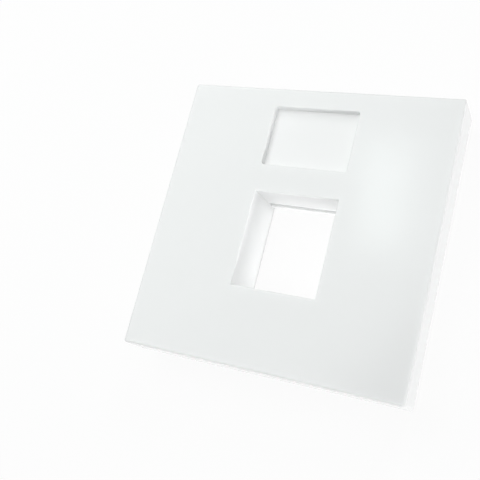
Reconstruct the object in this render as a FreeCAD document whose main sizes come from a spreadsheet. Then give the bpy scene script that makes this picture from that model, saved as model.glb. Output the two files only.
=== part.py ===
"""Keystone insert plate: one plastic moulding that holds a single snap-in jack.

The plate lies on its back. X points right, Y towards the label end and Z out of the front face.
The origin is under the middle of the plate, in the plane of the housing's rear face.
"""
import FreeCAD
import Part
import Sketcher
import math
import os

NODE = "insert_plate"

# Driving dimensions in millimetres. Depths and starts are measured back from the front face,
# margins and insets from the edge of the plate.
DIMENSIONS = {
    # Plate and rim
    "plate_side": 50.0,
    "rim_depth": 7.0,
    "face_wall": 2.0,
    "side_wall": 1.6,
    "corner_radius": 0.5,
    "cavity_corner_radius": 0.8,
    "face_edge_radius": 0.4,
    "cavity_root_radius": 0.5,
    "rim_edge_radius": 0.3,
    # Keystone aperture and its housing
    "aperture_width": 15.2,
    "aperture_height": 17.0,
    "aperture_top_margin": 19.6,
    "aperture_edge_radius": 0.2,
    "housing_wall": 1.8,
    "housing_corner_radius": 0.5,
    "housing_edge_radius": 0.3,
    "housing_root_radius": 0.3,
    "lug_slot_start": 6.4,
    "lug_slot_height": 2.0,
    "latch_bezel_depth": 4.0,
    "latch_recess_height": 4.0,
    "catch_start": 8.0,
    "catch_thickness": 2.0,
    "catch_overhang": 2.0,
    "catch_lead_in": 1.0,
    # Label pocket
    "label_width": 15.6,
    "label_height": 11.1,
    "label_top_margin": 3.5,
    "label_depth": 1.15,
    "label_floor": 1.6,
    "label_corner_radius": 0.5,
    "label_root_radius": 0.2,
    "label_edge_radius": 0.15,
    # Snap legs that grip a carrier sheet against the rim
    "carrier_thickness": 1.0,
    "leg_inset": 4.4,
    "leg_gap": 1.6,
    "leg_width": 6.0,
    "leg_root_thickness": 2.0,
    "leg_tip_thickness": 1.4,
    "leg_root_radius": 0.4,
    "hook_reach": 0.8,
    "hook_land": 0.5,
    "hook_lead_in": 1.5,
}

# Places worked out from the driving dimensions, as expressions for the sketches and features
HALF_PLATE = "dims.plate_side / 2"
FRONT = "(dims.catch_start + dims.catch_thickness)"
FACE_BACK = f"({FRONT} - dims.face_wall)"
RIM = f"({FRONT} - dims.rim_depth)"
CAVITY_EDGE = f"({HALF_PLATE} - dims.side_wall)"
APERTURE_TOP = f"({HALF_PLATE} - dims.aperture_top_margin)"
APERTURE_BOTTOM = f"({APERTURE_TOP} - dims.aperture_height)"
LUG_SLOT_TOP = f"({APERTURE_TOP} + dims.lug_slot_height)"
RECESS_BOTTOM = f"({APERTURE_BOTTOM} - dims.latch_recess_height)"
CATCH_FACE = "dims.catch_thickness"
HOUSING_SIDE = "(dims.aperture_width / 2 + dims.housing_wall)"
HOUSING_TOP = f"({LUG_SLOT_TOP} + dims.housing_wall)"
HOUSING_BOTTOM = f"({RECESS_BOTTOM} - dims.housing_wall)"
LABEL_TOP = f"({HALF_PLATE} - dims.label_top_margin)"
LABEL_BOTTOM = f"({LABEL_TOP} - dims.label_height)"
LABEL_BACK = f"({FRONT} - dims.label_depth)"
BACKING_REAR = f"({LABEL_BACK} - dims.label_floor)"
LEG_OUTSIDE = f"({HALF_PLATE} - dims.leg_inset)"
LEG_MIDDLE = f"({HOUSING_SIDE} + dims.leg_gap + dims.leg_width / 2)"
HOOK_TIP = f"({LEG_OUTSIDE} + dims.hook_reach)"
HOOK_FACE = f"({RIM} - dims.carrier_thickness)"
HOOK_LAND_END = f"({HOOK_FACE} - dims.hook_land)"
LEG_END = f"({HOOK_LAND_END} - dims.hook_lead_in)"

TOLERANCE = 1e-4


def make_sheet(document):
    """Spreadsheet of the driving dimensions: name, value and alias in each row."""
    sheet = document.addObject("Spreadsheet::Sheet", "dims")
    for row, (name, value) in enumerate(DIMENSIONS.items(), start=1):
        sheet.set(f"A{row}", name)
        sheet.set(f"B{row}", str(value))
        sheet.setAlias(f"B{row}", name)
    document.recompute()
    return sheet


def origin_plane(body, role):
    """One of the body's own origin planes."""
    for feature in body.Origin.OriginFeatures:
        if feature.Role == role:
            return feature
    raise ValueError(f"the body has no {role}")


def closed_sketch(body, name, role, height, outlines):
    """Sketch on an origin plane, moved along its normal, with each outline pulled to its corners."""
    sketch = body.newObject("Sketcher::SketchObject", name)
    sketch.AttachmentSupport = [(origin_plane(body, role), "")]
    sketch.MapMode = "FlatFace"
    sketch.setExpression("AttachmentOffset.Base.z", height)
    for corners in outlines:
        draw_outline(sketch, corners)
    return sketch


def draw_outline(sketch, corners):
    """Rough polygon whose corners are set by two dimensions each, measured from the origin."""
    count = len(corners)
    turns = [2 * math.pi * index / count for index in range(count)]
    rough = [FreeCAD.Vector(math.cos(turn), math.sin(turn), 0) for turn in turns]
    first = sketch.GeometryCount
    for index in range(count):
        sketch.addGeometry(Part.LineSegment(rough[index], rough[(index + 1) % count]), False)
    for index in range(count):
        following = first + (index + 1) % count
        sketch.addConstraint(Sketcher.Constraint("Coincident", first + index, 2, following, 1))
    for index, (across, up) in enumerate(corners):
        line = first + index
        place_x = Sketcher.Constraint("DistanceX", -1, 1, line, 1, rough[index].x)
        sketch.setExpression(f"Constraints[{sketch.addConstraint(place_x)}]", across)
        place_y = Sketcher.Constraint("DistanceY", -1, 1, line, 1, rough[index].y)
        sketch.setExpression(f"Constraints[{sketch.addConstraint(place_y)}]", up)


def rectangle(half_width, bottom, top):
    """Corners of a rectangle that is centred across the plate."""
    left = f"-{half_width}"
    return [(left, bottom), (half_width, bottom), (half_width, top), (left, top)]


def extrude(body, kind, name, sketch, length, symmetric=False, backwards=False):
    """Pad or pocket of a sketch, its length bound to an expression."""
    feature = body.newObject(f"PartDesign::{kind}", name)
    feature.Profile = sketch
    feature.SideType = "Symmetric" if symmetric else "One side"
    feature.Reversed = backwards
    feature.setExpression("Length", length)
    body.Tip = feature
    body.Document.recompute()
    return feature


def round_edges(body, name, radius, wanted):
    """Fillet of the body's edges that a test picks out by their place."""
    base = body.Tip
    picked = [f"Edge{i}" for i, edge in enumerate(base.Shape.Edges, start=1) if wanted(edge)]
    if not picked:
        raise ValueError(f"{name} finds no edges")
    feature = body.newObject("PartDesign::Fillet", name)
    feature.Base = (base, picked)
    feature.setExpression("Radius", radius)
    body.Tip = feature
    body.Document.recompute()
    return feature


def middle(edge):
    """Point halfway along an edge."""
    return edge.valueAt((edge.FirstParameter + edge.LastParameter) / 2)


def lies_at(edge, height):
    """Whether an edge lies in the level plane at the given height."""
    return all(abs(vertex.Z - height) < TOLERANCE for vertex in edge.Vertexes)


def front_height(sheet):
    """Height of the front face over the rear of the housing."""
    return sheet.catch_start + sheet.catch_thickness


def housing_side(sheet):
    """Half the outer width of the housing."""
    return sheet.aperture_width / 2 + sheet.housing_wall


def build_plate(body, sheet):
    """Square front plate with its rim, hollow at the back, with the radii of a moulding."""
    outline = rectangle(HALF_PLATE, f"-{HALF_PLATE}", HALF_PLATE)
    extrude(body, "Pad", "plate", closed_sketch(body, "plate_sketch", "XY_Plane", RIM, [outline]),
            "dims.rim_depth")
    hollow = rectangle(CAVITY_EDGE, f"-{CAVITY_EDGE}", CAVITY_EDGE)
    extrude(body, "Pocket", "rear_cavity",
            closed_sketch(body, "cavity_sketch", "XY_Plane", RIM, [hollow]),
            "dims.rim_depth - dims.face_wall", backwards=True)
    half = sheet.plate_side / 2
    round_corners(body, "outer_corners", "dims.corner_radius", half)
    round_corners(body, "cavity_corners", "dims.cavity_corner_radius", half - sheet.side_wall)
    floor = front_height(sheet) - sheet.face_wall
    round_edges(body, "cavity_root", "dims.cavity_root_radius", lambda edge: lies_at(edge, floor))
    rim = front_height(sheet) - sheet.rim_depth
    round_edges(body, "rim_edges", "dims.rim_edge_radius", lambda edge: lies_at(edge, rim))


def round_corners(body, name, radius, reach):
    """Fillet of the four upright edges of a square of the given half width."""
    def is_corner(edge):
        place = middle(edge)
        return abs(abs(place.x) - reach) < TOLERANCE and abs(abs(place.y) - reach) < TOLERANCE

    round_edges(body, name, radius, is_corner)


def build_housing(body, sheet):
    """Block behind the aperture, and the pad behind the label pocket that runs on to the rim."""
    side = housing_side(sheet)
    mouth_bottom = sheet.plate_side / 2 - sheet.aperture_top_margin - sheet.aperture_height
    bottom = mouth_bottom - sheet.latch_recess_height - sheet.housing_wall
    floor = front_height(sheet) - sheet.face_wall

    def is_lower_corner(edge):
        place = middle(edge)
        return abs(abs(place.x) - side) < TOLERANCE and abs(place.y - bottom) < TOLERANCE

    def is_root(edge):
        place = middle(edge)
        beside = abs(place.x) < side + TOLERANCE
        above = place.y > bottom - TOLERANCE
        return lies_at(edge, floor) and beside and above

    block = rectangle(HOUSING_SIDE, HOUSING_BOTTOM, HOUSING_TOP)
    extrude(body, "Pad", "housing", closed_sketch(body, "housing_sketch", "XY_Plane", "0", [block]),
            FRONT)
    round_edges(body, "housing_corners", "dims.housing_corner_radius", is_lower_corner)
    round_edges(body, "housing_rear_edge", "dims.housing_edge_radius", lambda edge: lies_at(edge, 0))
    backing = rectangle(HOUSING_SIDE, LUG_SLOT_TOP, CAVITY_EDGE)
    extrude(body, "Pad", "label_backing",
            closed_sketch(body, "backing_sketch", "XY_Plane", BACKING_REAR, [backing]),
            f"{FRONT} - {BACKING_REAR}")
    round_edges(body, "housing_root", "dims.housing_root_radius", is_root)


def leg_profile(side):
    """Side view of a snap leg: tapered tongue with an outward hook. Side is 1 at the label end, or -1."""
    inside_root = f"({LEG_OUTSIDE} - dims.leg_root_thickness)"
    inside_tip = f"({LEG_OUTSIDE} - dims.leg_tip_thickness)"
    corners = [
        (LEG_OUTSIDE, FACE_BACK),
        (LEG_OUTSIDE, HOOK_FACE),
        (HOOK_TIP, HOOK_FACE),
        (HOOK_TIP, HOOK_LAND_END),
        (LEG_OUTSIDE, LEG_END),
        (inside_tip, LEG_END),
        (inside_root, FACE_BACK),
    ]
    return [(f"{side} * {across}", up) for across, up in corners]


def build_legs(body, sheet):
    """Four snap legs: a pair on the right, mirrored to the left, with rounded roots."""
    floor = front_height(sheet) - sheet.face_wall
    outside = sheet.plate_side / 2 - sheet.leg_inset
    near = housing_side(sheet) + sheet.leg_gap
    far = near + sheet.leg_width

    def is_root(edge):
        place = middle(edge)
        across = near - TOLERANCE < abs(place.x) < far + TOLERANCE
        out = outside + TOLERANCE > abs(place.y) > outside - sheet.leg_root_thickness - TOLERANCE
        return lies_at(edge, floor) and across and out

    sketch = closed_sketch(body, "leg_sketch", "YZ_Plane", LEG_MIDDLE, [leg_profile(1), leg_profile(-1)])
    pair = extrude(body, "Pad", "right_legs", sketch, "dims.leg_width", symmetric=True)
    mirror = body.newObject("PartDesign::Mirrored", "left_legs")
    mirror.Originals = [pair]
    mirror.MirrorPlane = (origin_plane(body, "YZ_Plane"), [""])
    body.Tip = mirror
    body.Document.recompute()
    round_edges(body, "leg_roots", "dims.leg_root_radius", is_root)


def cut_aperture(body):
    """Keystone aperture from one side view, cut across the width of a jack.

    The upper side has the slot for the jack's fixed lug, with a catch flush with the aperture.
    The lower side has a bezel, the recess for the springy latch and an overhanging catch.
    Both catches have a lead-in at the rear, where the jack goes in.
    """
    latch_catch = f"({RECESS_BOTTOM} + dims.catch_overhang)"
    lug_slot_front = f"({FRONT} - dims.lug_slot_start)"
    bezel_back = f"({FRONT} - dims.latch_bezel_depth)"
    corners = [
        (APERTURE_TOP, FRONT),
        (APERTURE_TOP, lug_slot_front),
        (LUG_SLOT_TOP, lug_slot_front),
        (LUG_SLOT_TOP, CATCH_FACE),
        (APERTURE_TOP, CATCH_FACE),
        (APERTURE_TOP, "dims.catch_lead_in"),
        (f"{APERTURE_TOP} + dims.catch_lead_in", "0"),
        (f"{latch_catch} - dims.catch_lead_in", "0"),
        (latch_catch, "dims.catch_lead_in"),
        (latch_catch, CATCH_FACE),
        (RECESS_BOTTOM, CATCH_FACE),
        (RECESS_BOTTOM, bezel_back),
        (APERTURE_BOTTOM, bezel_back),
        (APERTURE_BOTTOM, FRONT),
    ]
    sketch = closed_sketch(body, "aperture_sketch", "YZ_Plane", "0", [corners])
    extrude(body, "Pocket", "aperture", sketch, "dims.aperture_width", symmetric=True)


def cut_label_pocket(body, sheet):
    """Shallow label pocket with upright walls, rounded in its corners and at its floor."""
    side = sheet.label_width / 2
    top = sheet.plate_side / 2 - sheet.label_top_margin
    bottom = top - sheet.label_height
    floor = front_height(sheet) - sheet.label_depth

    def is_corner(edge):
        place = middle(edge)
        beside = abs(abs(place.x) - side) < TOLERANCE
        return beside and min(abs(place.y - top), abs(place.y - bottom)) < TOLERANCE

    outline = rectangle("dims.label_width / 2", LABEL_BOTTOM, LABEL_TOP)
    sketch = closed_sketch(body, "label_sketch", "XY_Plane", FRONT, [outline])
    extrude(body, "Pocket", "label_pocket", sketch, "dims.label_depth")
    round_edges(body, "label_corners", "dims.label_corner_radius", is_corner)
    round_edges(body, "label_root", "dims.label_root_radius", lambda edge: lies_at(edge, floor))


def soften_front(body, sheet):
    """Small radii on the front edge of the plate and round the mouths of the pocket and the aperture."""
    front = front_height(sheet)
    half = sheet.plate_side / 2
    mouth_top = half - sheet.aperture_top_margin
    label_bottom = half - sheet.label_top_margin - sheet.label_height

    def is_outline(edge):
        place = middle(edge)
        return lies_at(edge, front) and max(abs(place.x), abs(place.y)) > half - sheet.corner_radius

    def is_mouth(edge):
        place = middle(edge)
        beside = abs(place.x) < sheet.aperture_width / 2 + TOLERANCE
        below = place.y < mouth_top + TOLERANCE
        above = place.y > mouth_top - sheet.aperture_height - TOLERANCE
        return lies_at(edge, front) and beside and below and above

    def is_label_rim(edge):
        place = middle(edge)
        beside = abs(place.x) < sheet.label_width / 2 + TOLERANCE
        above = label_bottom - TOLERANCE < place.y < half - sheet.label_top_margin + TOLERANCE
        return lies_at(edge, front) and beside and above

    round_edges(body, "face_edge", "dims.face_edge_radius", is_outline)
    round_edges(body, "label_edge", "dims.label_edge_radius", is_label_rim)
    round_edges(body, "mouth_edge", "dims.aperture_edge_radius", is_mouth)


def check_document(document, body):
    """Stop before anything is written if a feature failed or the solid isn't sound."""
    for item in document.Objects:
        if "Invalid" in item.State or "Error" in item.State:
            raise RuntimeError(f"{item.Name} failed: {item.State}")
    shape = body.Shape
    if shape.isNull() or not shape.isValid() or len(shape.Solids) != 1:
        raise RuntimeError("the plate isn't one valid solid")


def main():
    """Build the plate and write its solid."""
    document = FreeCAD.newDocument("keystone_insert_plate")
    sheet = make_sheet(document)
    body = document.addObject("PartDesign::Body", NODE)
    body.Label = NODE
    build_plate(body, sheet)
    build_housing(body, sheet)
    build_legs(body, sheet)
    cut_aperture(body)
    cut_label_pocket(body, sheet)
    soften_front(body, sheet)
    document.recompute()
    check_document(document, body)
    box = body.Shape.optimalBoundingBox()
    print(f"{NODE}: {box.XLength:.2f} x {box.YLength:.2f} x {box.ZLength:.2f} mm, "
          f"from z {box.ZMin:.2f}, {body.Shape.Volume:.1f} cubic mm, {len(body.Shape.Faces)} faces")
    os.makedirs("parts", exist_ok=True)
    body.Shape.exportStep(f"parts/{body.Label}.step")


main()
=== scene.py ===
"""Looks of the keystone insert plate: glossy white moulding on a white table, seen from above."""
import bpy
import math
from mathutils import Matrix, Vector


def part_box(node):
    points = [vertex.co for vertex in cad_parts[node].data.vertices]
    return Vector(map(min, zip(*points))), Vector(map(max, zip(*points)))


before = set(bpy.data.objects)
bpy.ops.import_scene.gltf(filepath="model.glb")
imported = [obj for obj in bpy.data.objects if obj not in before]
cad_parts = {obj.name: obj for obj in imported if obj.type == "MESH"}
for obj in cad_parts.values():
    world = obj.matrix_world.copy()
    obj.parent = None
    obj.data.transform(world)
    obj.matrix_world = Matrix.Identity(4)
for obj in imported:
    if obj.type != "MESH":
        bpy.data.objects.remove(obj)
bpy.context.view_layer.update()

MM = 0.001
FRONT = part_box("insert_plate")[1].z

# Camera, as the photograph was taken: from the lower right of the face, and turned
CAMERA_AZIMUTH = 63.7
CAMERA_ELEVATION = 61.25
CAMERA_ROLL = 51.85
CAMERA_DISTANCE = 129.9 * MM
CAMERA_TARGET = Vector((-8.0 * MM, -3.8 * MM, FRONT))
CAMERA_SENSOR = 36.0
CAMERA_LENS = 56.9

# Light: even surroundings, a glowing table and soft lamps, with places, aims and sizes in millimetres.
# The fills are far away and lift what is deep in the gaps. The lamp under the aperture is the table's
# glow there.
SURROUNDINGS = 0.37
ROOM_SEEN = 0.96
TABLE_SIDE = 40000.0 * MM
TABLE_DROP = 0.05 * MM
TABLE_GLOW = 0.85
TABLE_SEEN = 0.9
FACE_MIDDLE = (0.0, 0.0, 10.0)
LAMPS = {
    "soft_box": {"place": (-110.0, 72.0, 210.0), "size": (210.0, 210.0), "power": 0.22, "mirrored": True,
                 "colour": "FAFFFD"},
    "strip": {"place": (-32.2, 62.0, 174.0), "size": (18.0, 42.0), "power": 0.0063, "mirrored": True,
              "colour": "F2FFFB", "turn": -25.0},
    "low_fill": {"place": (2322.0, -1900.0, 160.0), "size": (2250.0, 280.0), "power": 5.1, "spread": 60.0},
    "front_fill": {"place": (250.0, -340.0, 907.0), "size": (300.0, 300.0), "power": 1.52},
    "back_fill": {"place": (225.0, 785.0, 520.0), "size": (300.0, 300.0), "power": 1.5},
    "under_aperture": {"place": (0.3, -2.85, 0.05), "size": (14.2, 15.7), "power": 0.00068,
                       "aim": (0.3, -2.85, 10.0)},
}

# Moulded finish: sizes of what the eye sees in the plastic. The spark grain is drawn about four times as
# coarse as a real one, so that it shows.
PEEL_WIDTH = 3.0 * MM
PEEL_HEIGHT = 0.004 * MM
SINK_WIDTH = 1.4 * MM
SINK_DEPTH = 0.008 * MM
SPARK_GRAIN = 0.4 * MM
SPARK_HEIGHT = 0.02 * MM
ETCH_GRAIN = 0.2 * MM
ETCH_HEIGHT = 0.003 * MM
FLOW_WIDTH = 14.0 * MM
SCATTER_LENGTH = 1.0 * MM
SCATTER_SHARE = 0.5

# Roughness, refraction and colours. Each pair is the range over the pattern of that finish.
POLISHED_ROUGHNESS = (0.13, 0.19)
ETCHED_ROUGHNESS = (0.34, 0.42)
SPARK_ROUGHNESS = (0.42, 0.55)
ABS_REFRACTION = 1.54
POLISHED_COLOURS = ("EFF0F0", "F1F2F2")
# The rear's two colours are painted shade: the pits of the spark grain are painted darker, the peaks
# lighter.
SPARK_PIT_SHADE_COLOURS = ("E4E5E5", "FAFBFB")
# The pocket floor's whiter colour is partly its etched finish and partly painted light.
ETCHED_AND_PAINTED_LIGHT_COLOUR = "F8F9F9"
TABLE_COLOUR = "FAFAFA"
ROOM_COLOUR = "FFFFFF"

# Places of the finishes: middle line of the housing's walls, rear hollow, rim and pocket floor
HOUSING_HALF_WIDTH = 8.5 * MM
HOUSING_HALF_HEIGHT = 12.4 * MM
HOUSING_MIDDLE = -4.1 * MM
HOUSING_END = 0.3 * MM
HOLLOW_HALF_WIDTH = 23.6 * MM
HOLLOW_TOP = 8.2 * MM
RIM_END = 3.15 * MM
POCKET_HALF_WIDTH = 7.7 * MM
POCKET_HALF_HEIGHT = 5.45 * MM
POCKET_MIDDLE = 15.95 * MM
POCKET_LOWEST = 8.4 * MM
POCKET_HIGHEST = 9.2 * MM


def hex_colour(code):
    """Linear colour with full alpha from an sRGB hex value."""
    shares = [int(code[i:i + 2], 16) / 255 for i in (0, 2, 4)]
    linear = [c / 12.92 if c <= 0.04045 else ((c + 0.055) / 1.055) ** 2.4 for c in shares]
    return (*linear, 1.0)


def add_node(tree, kind, settings=(), inputs=()):
    """Adds a node with its settings. An input that is another node's socket is linked, any other is set."""
    node = tree.nodes.new(kind)
    for name, value in dict(settings).items():
        setattr(node, name, value)
    for name, value in dict(inputs).items():
        if isinstance(value, bpy.types.NodeSocket):
            tree.links.new(value, node.inputs[name])
        else:
            node.inputs[name].default_value = value
    return node


def new_material(name):
    """Empty material and its node tree."""
    material = bpy.data.materials.new(name)
    material.use_nodes = True
    material.node_tree.nodes.clear()
    return material, material.node_tree


def gloss_abs():
    """White ABS, moulded between a polished cavity and a spark-eroded core.

    The eye gets a clean white with a sharp but slightly wavy gloss on the outside, shallow sink marks over
    the walls of the housing, a finely etched floor in the label pocket, whose paler colour is partly its
    finish and partly painted light, and a duller, grained rear whose pits are painted darker as painted
    shade.
    Some of the light goes about a millimetre deep into the plastic, so narrow gaps look soft.
    """
    material, tree = new_material("gloss_white_abs")
    place = add_node(tree, "ShaderNodeTexCoord").outputs["Object"]
    spot = add_node(tree, "ShaderNodeSeparateXYZ", {}, {0: place}).outputs
    across = add_node(tree, "ShaderNodeMath", {"operation": "ABSOLUTE"}, {0: spot["X"]}).outputs[0]
    along = add_node(tree, "ShaderNodeMath", {"operation": "ABSOLUTE"}, {0: spot["Y"]}).outputs[0]

    # Distance outwards from the middle line of the housing's walls, below zero in the aperture
    beside = add_node(tree, "ShaderNodeMath", {"operation": "SUBTRACT"}, {0: across, 1: HOUSING_HALF_WIDTH})
    above = add_node(tree, "ShaderNodeMath", {"operation": "SUBTRACT"}, {0: spot["Y"], 1: HOUSING_MIDDLE})
    above = add_node(tree, "ShaderNodeMath", {"operation": "ABSOLUTE"}, {0: above.outputs[0]})
    above = add_node(tree, "ShaderNodeMath", {"operation": "SUBTRACT"},
                     {0: above.outputs[0], 1: HOUSING_HALF_HEIGHT})
    outwards = add_node(tree, "ShaderNodeMath", {"operation": "MAXIMUM"},
                        {0: beside.outputs[0], 1: above.outputs[0]}).outputs[0]

    # Polished: the face, the outside of the rim down to its rear edge, and the walls of the aperture
    widest = add_node(tree, "ShaderNodeMath", {"operation": "MAXIMUM"}, {0: across, 1: along})
    round_rim = add_node(tree, "ShaderNodeMath", {"operation": "GREATER_THAN"},
                         {0: widest.outputs[0], 1: HOLLOW_HALF_WIDTH})
    at_face = add_node(tree, "ShaderNodeMath", {"operation": "GREATER_THAN"}, {0: spot["Z"], 1: HOLLOW_TOP})
    skin = add_node(tree, "ShaderNodeMath", {"operation": "MAXIMUM"},
                    {0: round_rim.outputs[0], 1: at_face.outputs[0]})
    over_rim = add_node(tree, "ShaderNodeMath", {"operation": "GREATER_THAN"}, {0: spot["Z"], 1: RIM_END})
    skin = add_node(tree, "ShaderNodeMath", {"operation": "MINIMUM"},
                    {0: skin.outputs[0], 1: over_rim.outputs[0]})
    in_aperture = add_node(tree, "ShaderNodeMath", {"operation": "LESS_THAN"}, {0: outwards, 1: 0.0})
    over_end = add_node(tree, "ShaderNodeMath", {"operation": "GREATER_THAN"},
                        {0: spot["Z"], 1: HOUSING_END})
    lining = add_node(tree, "ShaderNodeMath", {"operation": "MINIMUM"},
                      {0: in_aperture.outputs[0], 1: over_end.outputs[0]})
    polished = add_node(tree, "ShaderNodeMath", {"operation": "MAXIMUM"},
                        {0: skin.outputs[0], 1: lining.outputs[0]}).outputs[0]

    # Floor of the label pocket
    in_width = add_node(tree, "ShaderNodeMath", {"operation": "LESS_THAN"},
                        {0: across, 1: POCKET_HALF_WIDTH})
    in_height = add_node(tree, "ShaderNodeMath", {"operation": "COMPARE"},
                         {0: spot["Y"], 1: POCKET_MIDDLE, 2: POCKET_HALF_HEIGHT})
    in_depth = add_node(tree, "ShaderNodeMath", {"operation": "COMPARE"},
                        {0: spot["Z"], 1: (POCKET_LOWEST + POCKET_HIGHEST) / 2,
                         2: (POCKET_HIGHEST - POCKET_LOWEST) / 2})
    floor = add_node(tree, "ShaderNodeMath", {"operation": "MINIMUM"},
                     {0: in_width.outputs[0], 1: in_height.outputs[0]})
    floor = add_node(tree, "ShaderNodeMath", {"operation": "MINIMUM"},
                     {0: floor.outputs[0], 1: in_depth.outputs[0]}).outputs[0]

    # Relief: orange peel and sink marks on the gloss, etching in the pocket, spark grain in the rear
    peel = add_node(tree, "ShaderNodeTexNoise", {},
                    {"Vector": place, "Scale": 1 / PEEL_WIDTH, "Detail": 1.0})
    spark = add_node(tree, "ShaderNodeTexNoise", {},
                     {"Vector": place, "Scale": 1 / SPARK_GRAIN, "Detail": 2.0})
    etch = add_node(tree, "ShaderNodeTexNoise", {},
                    {"Vector": place, "Scale": 1 / ETCH_GRAIN, "Detail": 2.0})
    ring = add_node(tree, "ShaderNodeMath", {"operation": "DIVIDE"}, {0: outwards, 1: SINK_WIDTH})
    ring = add_node(tree, "ShaderNodeMath", {"operation": "MULTIPLY"},
                    {0: ring.outputs[0], 1: ring.outputs[0]})
    ring = add_node(tree, "ShaderNodeMath", {"operation": "MULTIPLY"}, {0: ring.outputs[0], 1: -1.0})
    ring = add_node(tree, "ShaderNodeMath", {"operation": "EXPONENT"}, {0: ring.outputs[0]})
    sink = add_node(tree, "ShaderNodeMath", {"operation": "MULTIPLY"}, {0: ring.outputs[0], 1: -SINK_DEPTH})
    gloss = add_node(tree, "ShaderNodeMath", {"operation": "MULTIPLY_ADD"},
                     {0: peel.outputs["Fac"], 1: PEEL_HEIGHT, 2: sink.outputs[0]})
    pitted = add_node(tree, "ShaderNodeMath", {"operation": "MULTIPLY"},
                      {0: spark.outputs["Fac"], 1: SPARK_HEIGHT})
    etched = add_node(tree, "ShaderNodeMath", {"operation": "MULTIPLY"},
                      {0: etch.outputs["Fac"], 1: ETCH_HEIGHT})
    relief = add_node(tree, "ShaderNodeMix", {},
                      {"Factor": polished, "A": pitted.outputs[0], "B": gloss.outputs[0]})
    relief = add_node(tree, "ShaderNodeMix", {},
                      {"Factor": floor, "A": relief.outputs["Result"], "B": etched.outputs[0]})
    bump = add_node(tree, "ShaderNodeBump", {},
                    {"Strength": 1.0, "Distance": 1.0, "Height": relief.outputs["Result"]})

    # Gloss: a faint haze on the polished skin, satin on the pocket's floor, dull in the rear
    haze = add_node(tree, "ShaderNodeMapRange", {},
                    {"Value": peel.outputs["Fac"], "To Min": POLISHED_ROUGHNESS[0],
                     "To Max": POLISHED_ROUGHNESS[1]})
    dull = add_node(tree, "ShaderNodeMapRange", {},
                    {"Value": spark.outputs["Fac"], "To Min": SPARK_ROUGHNESS[0],
                     "To Max": SPARK_ROUGHNESS[1]})
    satin = add_node(tree, "ShaderNodeMapRange", {},
                     {"Value": etch.outputs["Fac"], "To Min": ETCHED_ROUGHNESS[0],
                      "To Max": ETCHED_ROUGHNESS[1]})
    roughness = add_node(tree, "ShaderNodeMix", {},
                         {"Factor": polished, "A": dull.outputs["Result"], "B": haze.outputs["Result"]})
    roughness = add_node(tree, "ShaderNodeMix", {},
                         {"Factor": floor, "A": roughness.outputs["Result"], "B": satin.outputs["Result"]})

    # Colour: hardly any change, from how the melt flowed. In the rear the pits of the spark grain are
    # painted darker and its peaks lighter, as painted shade. The etched floor is painted a little whiter:
    # partly its finish, partly painted light.
    flow = add_node(tree, "ShaderNodeTexNoise", {},
                    {"Vector": place, "Scale": 1 / FLOW_WIDTH, "Detail": 2.0})
    tint = add_node(tree, "ShaderNodeMix", {"data_type": "RGBA"},
                    {"Factor": flow.outputs["Fac"], "A": hex_colour(POLISHED_COLOURS[0]),
                     "B": hex_colour(POLISHED_COLOURS[1])})
    # Painted shade: the spark grain's pits are painted darker, its peaks lighter.
    painted_pit_shade = add_node(tree, "ShaderNodeMix", {"data_type": "RGBA"},
                      {"Factor": spark.outputs["Fac"], "A": hex_colour(SPARK_PIT_SHADE_COLOURS[0]),
                       "B": hex_colour(SPARK_PIT_SHADE_COLOURS[1])})
    tint = add_node(tree, "ShaderNodeMix", {"data_type": "RGBA"},
                    {"Factor": polished, "A": painted_pit_shade.outputs["Result"], "B": tint.outputs["Result"]})
    # Pocket floor: painted a little whiter than the face, partly its etched finish and partly painted
    # light.
    tint = add_node(tree, "ShaderNodeMix", {"data_type": "RGBA"},
                    {"Factor": floor, "A": tint.outputs["Result"], "B": hex_colour(ETCHED_AND_PAINTED_LIGHT_COLOUR)})

    shader = add_node(tree, "ShaderNodeBsdfPrincipled", {}, {
        "Base Color": tint.outputs["Result"], "Roughness": roughness.outputs["Result"],
        "IOR": ABS_REFRACTION, "Subsurface Weight": SCATTER_SHARE, "Subsurface Radius": (1.0, 1.0, 1.0),
        "Subsurface Scale": SCATTER_LENGTH, "Normal": bump.outputs["Normal"]})
    add_node(tree, "ShaderNodeOutputMaterial", {}, {"Surface": shader.outputs["BSDF"]})
    return material


def seen_or_mirrored(tree):
    """One where the camera sees a surface directly, mirrored or through another, and else zero."""
    path = add_node(tree, "ShaderNodeLightPath")
    seen = add_node(tree, "ShaderNodeMath", {"operation": "MAXIMUM"},
                    {0: path.outputs["Is Camera Ray"], 1: path.outputs["Is Glossy Ray"]})
    seen = add_node(tree, "ShaderNodeMath", {"operation": "MAXIMUM"},
                    {0: seen.outputs[0], 1: path.outputs["Is Transmission Ray"]})
    return seen.outputs[0]


def opal_table():
    """Opal acrylic light table: evenly white from above, with a faint shadow, and clear from below."""
    material, tree = new_material("opal_acrylic")
    matt = add_node(tree, "ShaderNodeBsdfDiffuse", {}, {"Color": hex_colour(TABLE_COLOUR)})
    seen = seen_or_mirrored(tree)
    strength = add_node(tree, "ShaderNodeMapRange", {},
                        {"Value": seen, "To Min": TABLE_GLOW, "To Max": 1.0})
    glow = add_node(tree, "ShaderNodeEmission", {}, {"Strength": strength.outputs["Result"]})
    share = add_node(tree, "ShaderNodeMapRange", {},
                     {"Value": seen, "To Min": 1.0, "To Max": TABLE_SEEN})
    sheet = add_node(tree, "ShaderNodeMixShader", {},
                     {0: share.outputs["Result"], 1: matt.outputs["BSDF"], 2: glow.outputs["Emission"]})
    side = add_node(tree, "ShaderNodeNewGeometry")
    clear = add_node(tree, "ShaderNodeBsdfTransparent")
    sheet = add_node(tree, "ShaderNodeMixShader", {},
                     {0: side.outputs["Backfacing"], 1: sheet.outputs[0], 2: clear.outputs["BSDF"]})
    add_node(tree, "ShaderNodeOutputMaterial", {}, {"Surface": sheet.outputs[0]})
    return material


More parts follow.
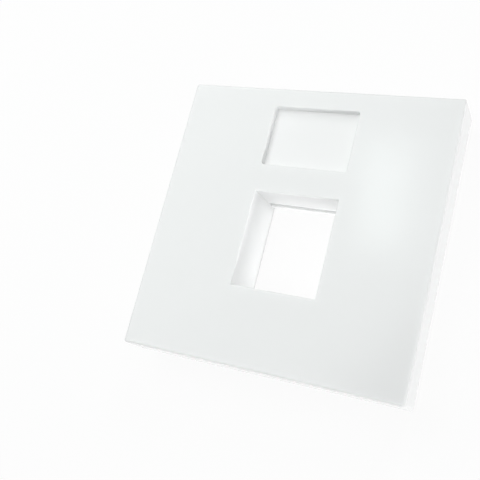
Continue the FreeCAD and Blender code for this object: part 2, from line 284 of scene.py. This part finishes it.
def add_table():
    """Wide white table, a hair below the plate, so that its glow reaches the ends of housing and legs."""
    bpy.ops.object.select_all(action="DESELECT")
    bpy.ops.mesh.primitive_plane_add(size=TABLE_SIDE, location=(0, 0, -TABLE_DROP))
    table = bpy.context.object
    table.name = "table"
    table.data.materials.append(opal_table())


def add_surroundings():
    """Even white room: white where it is seen or mirrored, and less bright as a light."""
    world = bpy.data.worlds.new("studio")
    bpy.context.scene.world = world
    world.use_nodes = True
    tree = world.node_tree
    tree.nodes.clear()
    seen = seen_or_mirrored(tree)
    strength = add_node(tree, "ShaderNodeMapRange", {},
                        {"Value": seen, "To Min": SURROUNDINGS, "To Max": ROOM_SEEN})
    room = add_node(tree, "ShaderNodeBackground", {},
                    {"Color": hex_colour(ROOM_COLOUR), "Strength": strength.outputs["Result"]})
    add_node(tree, "ShaderNodeOutputWorld", {}, {"Surface": room.outputs["Background"]})


def add_lamp(name, place, size, power, aim=FACE_MIDDLE, turn=0.0, spread=180.0, mirrored=False,
             colour="FFFFFF"):
    """Rectangular soft lamp, not seen itself, with its turn and its spread in degrees."""
    place = Vector(place) * MM
    bpy.ops.object.light_add(type="AREA", location=place)
    lamp = bpy.context.object
    lamp.name = name
    lamp.data.shape = "RECTANGLE"
    lamp.data.size = size[0] * MM
    lamp.data.size_y = size[1] * MM
    lamp.data.energy = power
    lamp.data.color = hex_colour(colour)[:3]
    facing = (place - Vector(aim) * MM).to_track_quat("Z", "Y").to_matrix()
    lamp.rotation_euler = (facing @ Matrix.Rotation(math.radians(turn), 3, "Z")).to_euler()
    lamp.data.spread = math.radians(spread)
    lamp.visible_camera = False
    lamp.visible_glossy = mirrored


def add_camera():
    """Camera at the photograph's place and turn."""
    azimuth = math.radians(CAMERA_AZIMUTH)
    tilt = math.radians(90 - CAMERA_ELEVATION)
    turn = Matrix.Rotation(azimuth, 4, "Z") @ Matrix.Rotation(tilt, 4, "X")
    bpy.ops.object.camera_add()
    camera = bpy.context.object
    camera.name = "photo_camera"
    camera.location = CAMERA_TARGET + turn @ Vector((0, 0, CAMERA_DISTANCE))
    camera.rotation_euler = (turn @ Matrix.Rotation(-math.radians(CAMERA_ROLL), 4, "Z")).to_euler()
    camera.data.sensor_width = CAMERA_SENSOR
    camera.data.sensor_fit = "HORIZONTAL"
    camera.data.lens = CAMERA_LENS
    camera.data.clip_start = MM
    bpy.context.scene.camera = camera


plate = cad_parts["insert_plate"]
plate.data.materials.clear()
plate.data.materials.append(gloss_abs())
add_table()
add_surroundings()
for lamp_name, lamp_values in LAMPS.items():
    add_lamp(lamp_name, **lamp_values)
add_camera()
bpy.context.scene.view_settings.view_transform = "Standard"
